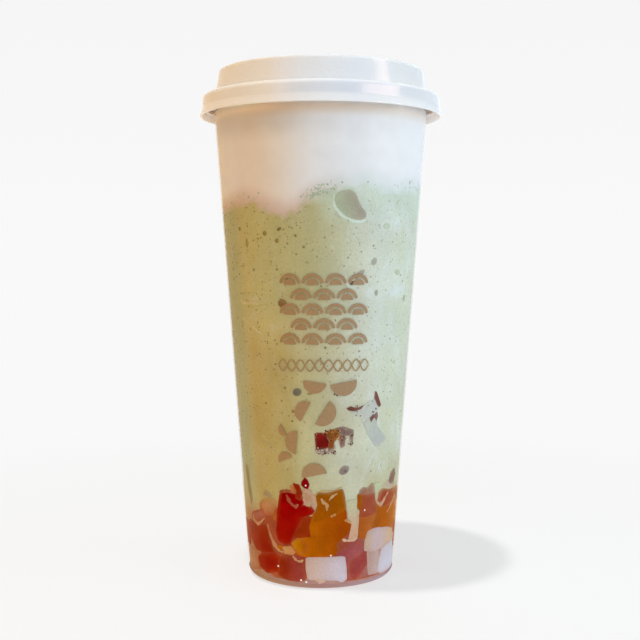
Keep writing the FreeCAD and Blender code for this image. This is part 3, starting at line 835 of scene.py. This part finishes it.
def back_cubes():
    """Square facets, tier on tier, skipped where the front is laid out by hand."""
    made, number = {"red": [], "amber": [], "white": []}, 0
    for tier, laid_out in enumerate(LAID_OUT):
        height = FLOOR_TOP + CUBE * (tier + 0.5)
        count = int(2 * np.pi * (inner_radius(height) - 0.42 * CUBE) / (0.86 * CUBE))
        for place in range(count):
            number += 1
            angle = 360 * (place + 0.5 * tier + 0.12 * uneven(number, 7)) / count
            angle = (angle + 180) % 360 - 180
            if abs(angle) < laid_out:
                continue
            rise = height - 0.22 * CUBE * (1 + uneven(number, 8)) * (tier > 0)
            half = 6.4 * (1 + 0.15 * uneven(number, 1))
            x = half * np.array((-1, 1, 1, -1))
            y = half * (0.92 + 0.1 * uneven(number, 2)) * np.array((-1, -1, 1, 1))
            square = on_wall(x, y, 30 * uneven(number, 4), 0, height) + [angle, rise - height]
            square[:, 1] = np.maximum(square[:, 1], 2.8)
            pick = uneven(number, 5)
            kind = "red" if pick < 0 else "amber" if pick < 0.55 else "white"
            tones = " ".join(JELLY_TONES[kind][int(2 + 2 * uneven(number, salt)) % 4] for salt in (9, 10))
            made[kind].append((0.30 + 0.08 * (1 + uneven(number, 3)), 0.6 + 0.4 * uneven(number, 6), tones,
                               180 * uneven(number, 11), square))
    return made


rest_cubes = back_cubes()
print("cubes round the back:", sum(map(len, rest_cubes.values())))
# Further in, bigger blurred patches fill what is left between them.
PATCHES = ("red", 0.23, "B4603A A84C34"), ("amber", 0.24, "B86830 C47A44")
for number in range(9):
    angle, tall, (kind, level, tones) = 96 + 21 * number, 30 + 4 * uneven(number, 2), PATCHES[number % 2]
    rest_cubes[kind].append((level, 1.6, tones, 90, [(angle - 13, 2.8), (angle + 13, 2.8), (angle + 12, tall),
                                                     (angle - 12, tall - 3)]))
for kind, bodies in front_cubes.items():
    haze = pale_juice if kind == "white" else among_jelly
    bodies = [pressed_body(corners, level, CUBE_DEPTH, soft, tones, lean, around=haze)
              for level, soft, tones, lean, corners in bodies + rest_cubes[kind]]
    make_bodies(f"jelly_{kind}", bodies, finishes[kind], "jelly", ("jelly_heap",))

# %% [markdown]
# ## Heart of the heap
# Deep inside, the cubes are packed so closely that they are one mass. A plain dome stands for
# it, hidden behind the cubes against the wall.

# %% Jelly core
angle = np.linspace(0, 2 * np.pi, 48, endpoint=False)[None]
rise = np.linspace(0, 1, 12)[:, None]
CORE_INSET = 8.5                             # mm from the wall at the floor
core_radius = (inner_radius(FLOOR_TOP) - CORE_INSET) * (1 - 0.75 * rise ** 2)
core = np.stack((core_radius * np.sin(angle), -core_radius * np.cos(angle),
                 FLOOR_TOP + 0.1 + 30 * rise + 0 * angle), -1)
points = closed_body(core)
toned_piece("jelly_core", points, np.tile(linear("A43418"), (len(points), 1)), ring_faces(*core.shape[:2]),
            finishes["red"], "jelly", ("jelly_heap",))

# %% [markdown]
# ## Ribbons
# Films of cream between the cubes, milk streaks and printed lines are all the same thing: a
# flattened oval carried along a path on the wall, thin at both ends.

# %% Ribbon along a path
def ribbon(path, width, level, depth, tones, steps=28, round_about_it=10, wobble=0.0, taper=0.5):
    """A flattened oval along a path of (degrees, mm): width * sin(pi s)^taper across, its front at the
    level and its back deeper. The mean of five readings shifted along the path rounds its corners."""
    flat = np.array(path, float)
    arc = degree(flat[:, 1].mean())
    flat = flat * [arc, 1]
    t = np.linspace(0, 1, steps)
    knots = np.linspace(0, 1, len(flat))
    reach = 0.5 / max(len(flat) - 1, 1)
    soft = [np.mean([np.interp(np.clip(t + shift * reach, 0, 1), knots, flat[:, k])
                     for shift in (-0.7, -0.35, 0, 0.35, 0.7)], 0) for k in (0, 1)]
    line = np.stack(soft, 1)
    ahead = np.gradient(line, axis=0)
    ahead /= np.linalg.norm(ahead, axis=1)[:, None]
    beside = np.stack((-ahead[:, 1], ahead[:, 0]), 1)
    swell = np.clip(np.sin(np.pi * np.linspace(0.02, 0.98, steps)), 0, 1) ** taper
    swell = swell * (1 + wobble * np.sin(11 * t + 3 * len(path)) + 0.8 * wobble * np.sin(27 * t + 5 * width))
    turn = np.linspace(0, 2 * np.pi, round_about_it, endpoint=False)[None]
    across = 0.5 * width * swell[:, None] * np.cos(turn)
    out = np.sign(np.sin(turn)) * np.abs(np.sin(turn)) ** 0.5
    flat_points = line[:, None] + beside[:, None] * across[:, :, None]
    sunk = 0.5 * depth * (1 - out) + 0 * across
    angle = flat_points[..., 0] / arc * np.radians(1)
    rings = rolled_up(angle, flat_points[..., 1], level - sunk)
    points = closed_body(rings)
    share = np.concatenate((np.repeat(t, round_about_it), [0.0, 1.0]))
    return points, blend(linear(tones[:6]), linear(tones[-6:]), share), steps, round_about_it


films = [ribbon(path, 1.3 * width, 0.5, 0.5, tones, wobble=0.3, taper=taper) for width, taper, tones, path in (
    (1.1, 0.4, "C0805C CC9868", [(-43, 24.5), (-40.5, 20), (-36.5, 16), (-32.5, 14.2), (-29, 14)]),
    (0.8, 0.4, "C08A64 CC9868", [(-21.5, 13.2), (-19, 11.5), (-15.5, 10.8), (-12.6, 11.8)]),
    (0.9, 0.5, "C98E6C CE9A72", [(-61, 26.5), (-58, 23.8), (-54, 22.8), (-49, 24.7), (-45, 26.5)]),
    (1.0, 0.4, "C8A070 C49868", [(0, 36.5), (2.5, 34), (4.5, 34.2), (4.2, 31)]),
    (0.8, 0.4, "C8A070 C8A478", [(5.5, 35.2), (8, 37), (12, 38.2)]),
    (0.9, 0.5, "C88C50 C88C50", [(6.5, 28.8), (11.5, 30.2)]),
    (0.9, 0.5, "C88C50 CC9868", [(16.5, 27.6), (23, 26)]),
    (1.3, 0.4, "CCA080 C89878", [(43, 34), (46, 31.8), (50, 31.5), (54, 34), (58, 35.8)]),
    (1.1, 0.4, "C89070 C89070", [(57, 27), (64, 30), (71, 33.5), (76, 29), (78, 25)]),
    (1.0, 0.4, "D4B090 D4B090", [(15.5, 20), (18, 19.2), (24, 19), (28, 20)]),
    (1.2, 0.4, "A84A34 B4684E", [(-25, 37.5), (-22, 34), (-18, 32.4), (-15.5, 33.8)]),
    (1.2, 0.4, "C89C84 CCA894", [(-5, 4.2), (0, 3.2), (4, 3.6)]),
    (0.55, 0.3, "C4A470 C6AE80", [(-4.4, 36.6), (-2, 38.9), (4, 39), (9, 39.2), (15.5, 40.6)]),
    (0.6, 0.4, "A0503C A4583E", [(-30.5, 37.6), (-28, 38.6), (-24, 38.9), (-20, 38.6)]),
    (0.7, 0.4, "C48454 C07C50", [(69, 33.5), (77, 26.5), (78, 19.5), (74, 13)]),
    (1.6, 0.4, "C6A284 C9A288", [(-13, 39.5), (-8, 39), (-4.5, 36), (-4, 31)]),
    (1.4, 0.4, "C4947A D0A888", [(-12.5, 36.5), (-10, 33.8), (-7, 33.2)]),
)]
make_bodies("cream_films", films, jelly_finish("cream film", 0.05, 0.6), "cream")

# %% [markdown]
# ## Pieces caught higher up
# A torn red cube with cream clinging to it, two pale slabs of coconut jelly and a few slivers
# float in the drink, held against the wall. They are thinner bodies of the same kind.

# %% Sunk pieces
sunk = [
    (0.36, 0.3, "861E16 74120E", -60, [(-4.2, 61.4), (-2, 62), (6, 61.3), (8, 61.8), (7.5, 56), (-3.2, 55)]),
    (0.39, 0.4, "8A4420 96602C", 30, [(1.5, 61.8), (7, 63.2), (12.5, 63.3), (12.8, 60.5), (9, 58), (8.5, 55.5),
     (4.5, 55.4), (5.5, 58.5)]),
    (0.34, 0.6, "84625A 8C7468", 0, [(9, 63.5), (15, 64.2), (22.3, 62.6), (22.2, 60.2), (18, 60.3),
     (14, 60.3)]),
    (0.37, 0.4, "94706A 8C5648", 90, [(12, 61), (16.5, 60.5), (16.2, 56.5), (13.6, 55.4), (12.5, 57)]),
    (0.37, 0.5, "A08C80 94706A", 90, [(19, 61), (22.2, 61.5), (21.6, 56.5), (19.8, 56.8)]),
    (0.3, 0.7, "AC9484 9A8078", 90, [(-3.6, 56), (9.5, 57.5), (10.6, 52.8), (8, 54.2), (4, 53.6), (-1, 53),
     (-3.6, 54)]),
    (0.42, 0.3, "7E4C46 86564C", 90, [(37.2, 77), (38.6, 76.8), (43.2, 71.2), (41.5, 70.4), (39.5, 71.4),
     (36.8, 74.2)]),
    (0.42, 0.3, "70443C 8E5E54", 0, [(16.5, 71), (19.5, 71.8), (22, 71.2), (27, 71.2), (29.2, 72), (27, 70.4),
     (22.5, 69.6), (18.5, 70)]),
    (0.42, 0.3, "80544C 96746A", 0, [(33.5, 66.6), (36, 68), (40.2, 68.8), (40.8, 66.8), (39.6, 65),
     (38.6, 66.4), (36.6, 66.4), (35, 64.8)]),
    (0.4, 0.4, "9A8A80 A2948A", 0, [(8.2, 77.8), (10, 78.2), (13.6, 77), (13.8, 76), (11, 76.4), (8.4, 76.8)]),
]
pale = [
    (0.34, 0.5, "C6C4B4 C6C7BF", 0, [(17, 70.6), (28, 71.4), (33, 73.2), (37, 74), (41.5, 70.5), (40, 68),
     (33.5, 65.8), (28.5, 66.6), (22, 68.2)]),
    (0.36, 0.4, "C2C3B6 BDBDB6", -60, [(29, 65), (32, 66.6), (39.5, 66.8), (40.5, 63.5), (49, 58.8),
     (50, 57.6), (42.5, 54.6), (38, 56.3), (32.5, 60.3)]),
]
for name, layout, finish in (("sunk_jelly", sunk, finishes["sunk"]), ("sunk_coconut", pale, finishes["white"])):
    make_bodies(name, [pressed_body(corners, level, 2.5, soft, tones, lean)
                       for level, soft, tones, lean, corners in layout], finish, "jelly")

# %% [markdown]
# ## Air pocket and streaks
# Under the cream sits an air pocket as big as a bean, with a pale rim of milk on its lower side;
# its grey-green is painted shade of the air gap behind the wall. Milk also runs in thin pale streaks where the
# drink was poured.

# %% Air pocket and milk streaks
pocket_edge = [(7, 150), (9, 151.7), (12, 153), (15.5, 153.2), (18.5, 152.3), (19.8, 151), (21, 149), (23, 146.5),
               (25.2, 145.4), (26, 143.7), (25, 142.5), (22, 141.8), (17.5, 142.2), (13.5, 143.4), (10, 145.4),
               (8, 147.5)]
# Painted shade: the pocket's grey-green body stands for the shaded air gap behind the wall.
pocket = [pressed_body(pocket_edge, 0.42, 1.6, 0.6, "B2BA9E AFA594", 20, share=0.2),
          pressed_body([(6.5, 144), (13, 151), (18, 150), (21, 146), (15, 143), (10, 142.5)], 0.30, 0.5, 3.0,
                       "B4AC9C 9CA88A", 30, share=0.25)]
make_bodies("air_pocket", pocket, jelly_finish("air pocket behind milk", 0.06, 0.3), "matcha_drink")
streaks = [ribbon(path, width, 0.34, 0.4, tones, wobble=0.3, taper=taper) for width, taper, tones, path in (
    (1.7, 0.35, "D5E2D4 D9E4DA", [(7.4, 151.8), (7.0, 149.4), (7.8, 147.2), (9.6, 145.2), (12, 143.6),
     (14.6, 142.6), (17.4, 141.9), (20.4, 141.6), (23, 141.7), (25.4, 142.4)]),
    (0.6, 0.5, "D4DDCB DCE2D6", [(20.5, 120.6), (25.5, 121.2), (30, 123.6), (33.5, 127.4)]),
    (0.6, 0.5, "C9CDB0 C9CDB0", [(15.5, 117.6), (16.5, 114), (14, 112)]),
    (0.6, 0.5, "D9DED6 D9DED6", [(42, 44), (45, 47), (46, 50)]),
    (1.2, 0.5, "CDC596 CDC596", [(-60, 112), (-52, 110.3), (-44, 111), (-38, 110)]),
    (1.0, 0.5, "CDC596 CBC394", [(-58, 105), (-50, 103), (-44, 100.5), (-38, 98.5)]),
    (0.9, 0.5, "BDB27C BDB480", [(-46, 60), (-40, 58), (-34, 55)]),
    (0.7, 0.5, "D2D6BE D2D6BE", [(40, 52), (39, 48), (36, 46)]),
)]
make_bodies("milk_streaks", streaks, jelly_finish("milk streak", 0.04, 0.6), "cream")

# %% [markdown]
# ## Bubbles
# Whisked tea is full of fine bubbles. Against the wall each is a tiny darker disc with a paler
# rim, from 0.4 to 1.5 mm across. A few bigger ones are placed one by one. All are one mesh of
# small lens shapes with few faces each.

# %% Bubbles
def lenses(angle, height, size, level, core, rim, columns=9):
    """Small round lenses on the wall as whole arrays: rings at 1, 1, 0.82 and 0.5 times each radius,
    the core's tone inside and the rim's outside. Returns points, tones and faces."""
    scale = np.array([1.0, 1.0, 0.82, 0.5])
    sink = np.array([0.45, 0.2, 0.03, 0.0])
    turn = np.linspace(0, 2 * np.pi, columns, endpoint=False)
    across = (scale[:, None] * np.cos(turn)).ravel()
    up = (scale[:, None] * np.sin(turn)).ravel()
    across, up = np.concatenate((across, [0, 0])), np.concatenate((up, [0, 0]))
    deep = np.concatenate((np.repeat(sink, columns), [0.5, 0.0]))
    shade = np.concatenate((np.repeat([0.0, 0.0, 0.75, 1.0], columns), [0.0, 1.0]))
    size, height = np.asarray(size)[:, None], np.asarray(height)[:, None]
    heights = height + size * up
    angles = np.asarray(angle)[:, None] + size * across / inner_radius(height)
    points = rolled_up(angles, heights, level - deep).reshape(-1, 3)
    tones = blend(np.repeat(rim, len(up), 0), np.repeat(core, len(up), 0), np.tile(shade, len(size)))
    pattern = ring_faces(len(scale), columns)
    per_lens = len(up)
    quads = np.array([f for f in pattern if len(f) == 4])
    fans = np.array([f for f in pattern if len(f) == 3])
    shift = (np.arange(len(size)) * per_lens)[:, None, None]
    return points, tones, (quads + shift).reshape(-1, 4).tolist() + (fans + shift).reshape(-1, 3).tolist()


scatter = np.random.default_rng(11)
FINE, FLECKS = 1700, 260                     # how many of each
angle = scatter.uniform(-np.pi, np.pi, FINE)
height = 44 + 106 * scatter.beta(1.5, 1.0, FINE)
height = np.minimum(height, cream_line(angle) - 1.5)
size = 0.2 + 0.55 * scatter.beta(1.0, 4.5, FINE)
here = drink_tint(angle, height)
dark = scatter.uniform(0.40, 0.80, FINE) + 0.2 * step(0.0, 0.8, np.sin(angle))      # fainter on the milky side
dark = np.minimum(dark, 0.9)[:, None] * here * [1.0, 0.9, 0.82]
points, tones, faces = lenses(angle, height, size, 0.33, dark, here * 1.05)
toned_piece("fine_bubbles", points, tones, faces)

# Flecks of matcha hang in the cream just above the border.
angle = np.concatenate((scatter.normal(np.radians(-2), np.radians(5), 90),
                        scatter.uniform(np.radians(20), np.radians(330), FLECKS - 90)))
height = cream_line(angle) + 0.4 + scatter.beta(1.1, 2.2, FLECKS) * 5.0
fleck = blend(linear("A9BBA0"), linear("C4CDB8"), scatter.uniform(0, 1, FLECKS))
size = 0.22 + 0.45 * scatter.beta(1.0, 3.0, FLECKS)
points, tones, faces = lenses(angle, height, size, 0.33, fleck, fleck * 1.1, 7)
toned_piece("matcha_flecks", points, tones, faces)


def oval(degrees, height, across, tall, turn=0.0):
    """Corners of an ellipse on the wall, with half width and half height in mm, turned by degrees."""
    t = np.linspace(0, 2 * np.pi, 20, endpoint=False)
    return on_wall(across * np.cos(t), tall * np.sin(t), turn, degrees, height)


large = [  # place, half sizes, turn, and two tones
    (-15, 77.3, 1.8, 1.55, 20, "6C695A 7E7A68"), (-23, 110.9, 1.85, 1.65, 0, "8A6A44 98784E"),
    (16.2, 47.0, 2.2, 1.6, 35, "8E7870 9C8C82"), (17, 46.6, 0.8, 0.7, 0, "6E5A58 7A6460"),
    (18.3, 118.4, 2.5, 1.9, 10, "D2D9C4 D6DCC8"), (18.4, 118.6, 1.3, 0.8, 20, "6A5250 7E6660"),
    (22.8, 121.9, 2.5, 0.95, 38, "A39A8E AEA89A"), (32, 126.6, 1.6, 1.15, 60, "ABA798 B2B0A2"),
    (34.5, 114.8, 0.8, 1.15, 0, "A2A48E ACAD98"), (61.5, 112.3, 0.9, 1.3, 0, "AEB8A2 B9C0AE"),
    (-19.5, 119.4, 0.8, 1.1, 0, "82643C 8A6C48"), (-32.9, 137.2, 0.85, 0.95, 0, "8A783E A08C50"),
    (-23.5, 138.7, 1.0, 0.6, 30, "786A3E 86764A"), (-25.1, 134.4, 0.85, 0.9, 0, "8E7C42 A08C50"),
    (-14, 136.2, 0.5, 0.5, 0, "85784C 85784C"), (-9.5, 132, 0.5, 0.5, 0, "857C54 857C54"),
    (-53, 139.1, 0.5, 0.8, 0, "8A7C48 8A7C48"), (-47, 133.7, 0.75, 1.7, 0, "A19A5E A8A068"),
    (-7, 76.8, 1.0, 0.45, 10, "A08C50 A08C50"), (-18, 69.8, 0.6, 0.6, 0, "8C7444 9A8250"),
    (40, 140, 1.6, 1.2, 0, "C6CFBA C0C9B2"), (52, 122.5, 1.4, 1.2, 0, "BFC9AE C3CCB4"),
    (150, 120, 1.7, 1.5, 0, "8E866C 9A927A"), (-140, 96, 1.8, 1.6, 0, "847658 948668"),
    (110, 80, 1.5, 1.3, 0, "A8A890 B0B09C"), (-100, 128, 1.5, 1.3, 0, "8A7C50 968858"),
    (172, 64, 1.9, 1.7, 0, "948A70 A0987E"), (-165, 140, 1.3, 1.1, 0, "8E8460 9C9270"),]
make_bodies("large_bubbles", [pressed_body(oval(at, up, wide, tall, turn), 0.35 + 0.02 * (wide < 1.4), 0.6, 0.35,
                                           tones, 40, cuts=0, rim=0.12, count=24)
                              for at, up, wide, tall, turn, tones in large], finishes["white"], "matcha_drink")

# Froth sticks to the torn cubes as crowded bubbles, dark and pale.
froth = []
for number, low, high, bottom, top, first, second in (
        (46, 2, 12, 58.6, 62.9, "5A2012", "C08238"), (40, -3.5, 10, 52.8, 56, "6A4A48", "CBC6AA"),
        (26, 12, 22, 55.5, 63.5, "5C3A34", "B8A894"), (26, 22, 41, 66, 73.5, "7A5650", "D4D8CC"),
        (12, -4, 3, 59.5, 62, "B07A70", "6E1A14"), (9, 8, 14, 76, 78, "6E5E5A", "8A7E78")):
    froth.append((scatter.uniform(np.radians(low), np.radians(high), number), scatter.uniform(bottom, top, number),
                  scatter.uniform(0.16, 0.42, number),
                  np.where(np.arange(number)[:, None] % 2, linear(first), linear(second))))
angle, height, size, core = (np.concatenate(column) for column in zip(*froth))
points, tones, faces = lenses(angle, height, size, 0.46, core, core * 0.9, 7)
toned_piece("froth_on_cubes", points, tones, faces)

# Tiny bubbles between the cubes are painted bright white as glints, one of them on a bright red piece.
angle = np.concatenate((np.radians([-34, -11, -15, 33, 7.5, -10.3]), scatter.uniform(1.6, 4.7, 24)))
height = np.concatenate(([8.0, 2.9, 3.5, 30.5, 13.6, 41.2], scatter.uniform(4, 40, 24)))
bright = np.tile(linear("F6EFEA"), (30, 1))
points, tones, faces = lenses(angle, height, np.full(30, 0.42), 0.52, bright, bright * 0.9)
toned_piece("painted_glints", points, tones, faces)

# %% [markdown]
# ## Print on the wall
# The cup is printed in one flat tan ink on its outer face. The design here is a common one of
# no maker's own: rows of wave scales, a band of two crossing wavy lines under them, and a loose
# fall of half rounds. Ink lies a few hundredths of a millimetre proud of the wall.

# %% Ink and its shapes
pad_print = Recipe("tan pad-print ink")
# Pad print leaves pinholes and thin spots about a millimetre across.
cover = pad_print.noise(pad_print.place(), 1.2, 3.0, 0.86, 0.72)
film = pad_print.shader("BsdfPrincipled", {"Base Color": pad_print.painted("tone", "Color"), "Roughness": 0.5,
                                           "IOR": 1.45, "Specular IOR Level": 0.1})
ink = pad_print.finish(pad_print.between(cover, pad_print.shader("BsdfTransparent"), film))
INK_LEVEL, INK_DEPTH = WALL + 0.05, 0.07


def half_round(degrees, height, radius, turn):
    """Corners of a half disc on the wall: an arc of 180 degrees and its chord, turned about its middle."""
    t = np.linspace(0, np.pi, 15)
    return on_wall(radius * np.cos(t), radius * (np.sin(t) - 0.4), turn, degrees, height)


def arch(degrees, height, radius):
    """Path of a wave scale's arch: a little under a half circle standing on its ends."""
    t = np.linspace(np.radians(172), np.radians(8), 17)
    return np.stack((radius * np.cos(t) / degree(height) + degrees,
                     height + radius * np.sin(t)), 1)


def ink_tones(degrees):
    """The ink's tone at a place, with the room's light painted in: more brown on the lamp's side, greyer towards
    the daylight.
    """
    browner = (45 - degrees) / 90
    tone = [int(a + (b - a) * browner) for a, b in ((174, 178), (150, 134), (122, 84))]
    return "%02X%02X%02X" % tuple(tone)


def printed(corners, degrees):
    """A flat printed shape."""
    return pressed_body(corners, INK_LEVEL, INK_DEPTH, 0, ink_tones(degrees), cuts=0, rim=0.02)


def printed_line(path, width, degrees):
    """A printed line of even width."""
    return ribbon(path, width, INK_LEVEL, INK_DEPTH, ink_tones(degrees), 34, 8, taper=0.12)


prints = []
PITCH, RISE = 8.6, 5.6                           # mm between neighbouring scales and between rows
for row in range(5):
    base = 95.5 + RISE * row
    for place in np.arange(4 - row % 2) - (3 - row % 2) / 2:
        degrees = 2 + place * PITCH / degree(base)
        prints.append(printed(half_round(degrees, base + 0.9, 2.3, 0), degrees))
        prints.append(printed_line(arch(degrees, base, 3.6), 1.3, degrees))
BAND = 87.5                                      # height of the two crossing wavy lines, 7 mm a wave
wave = np.linspace(-17.5, 17.5, 57)
for shift in (0.0, np.pi):
    path = np.stack((wave / degree(BAND) + 2, BAND + 2.2 * np.sin(wave * 2 * np.pi / 7 + shift)), 1)
    prints.append(ribbon(path, 0.5, INK_LEVEL, INK_DEPTH, ink_tones(2), 160, 8, taper=0.05))
FALLING = ((-4, 79.5, 4.4, 172), (15, 79, 5.2, 190), (-12, 70.5, 4.2, 62), (4, 68.5, 5.2, 238),
           (-26, 62, 2.4, 120), (-19, 58, 4.6, 84), (-25, 52, 3.0, 20), (-5, 47, 4.8, 12))
for degrees, height, radius, turn in FALLING:
    prints.append(printed(half_round(degrees, height, radius, turn), degrees))
# The frosted wall blurs the print's shadow away, so it throws none on the drink a millimetre behind it.
wall_print = make_bodies("wall_print", prints, ink, "frosted_plastic")
wall_print.data.shade_flat()
wall_print.visible_shadow = False

# %% Finish up
bpy.context.scene.view_settings.view_transform = "Standard"
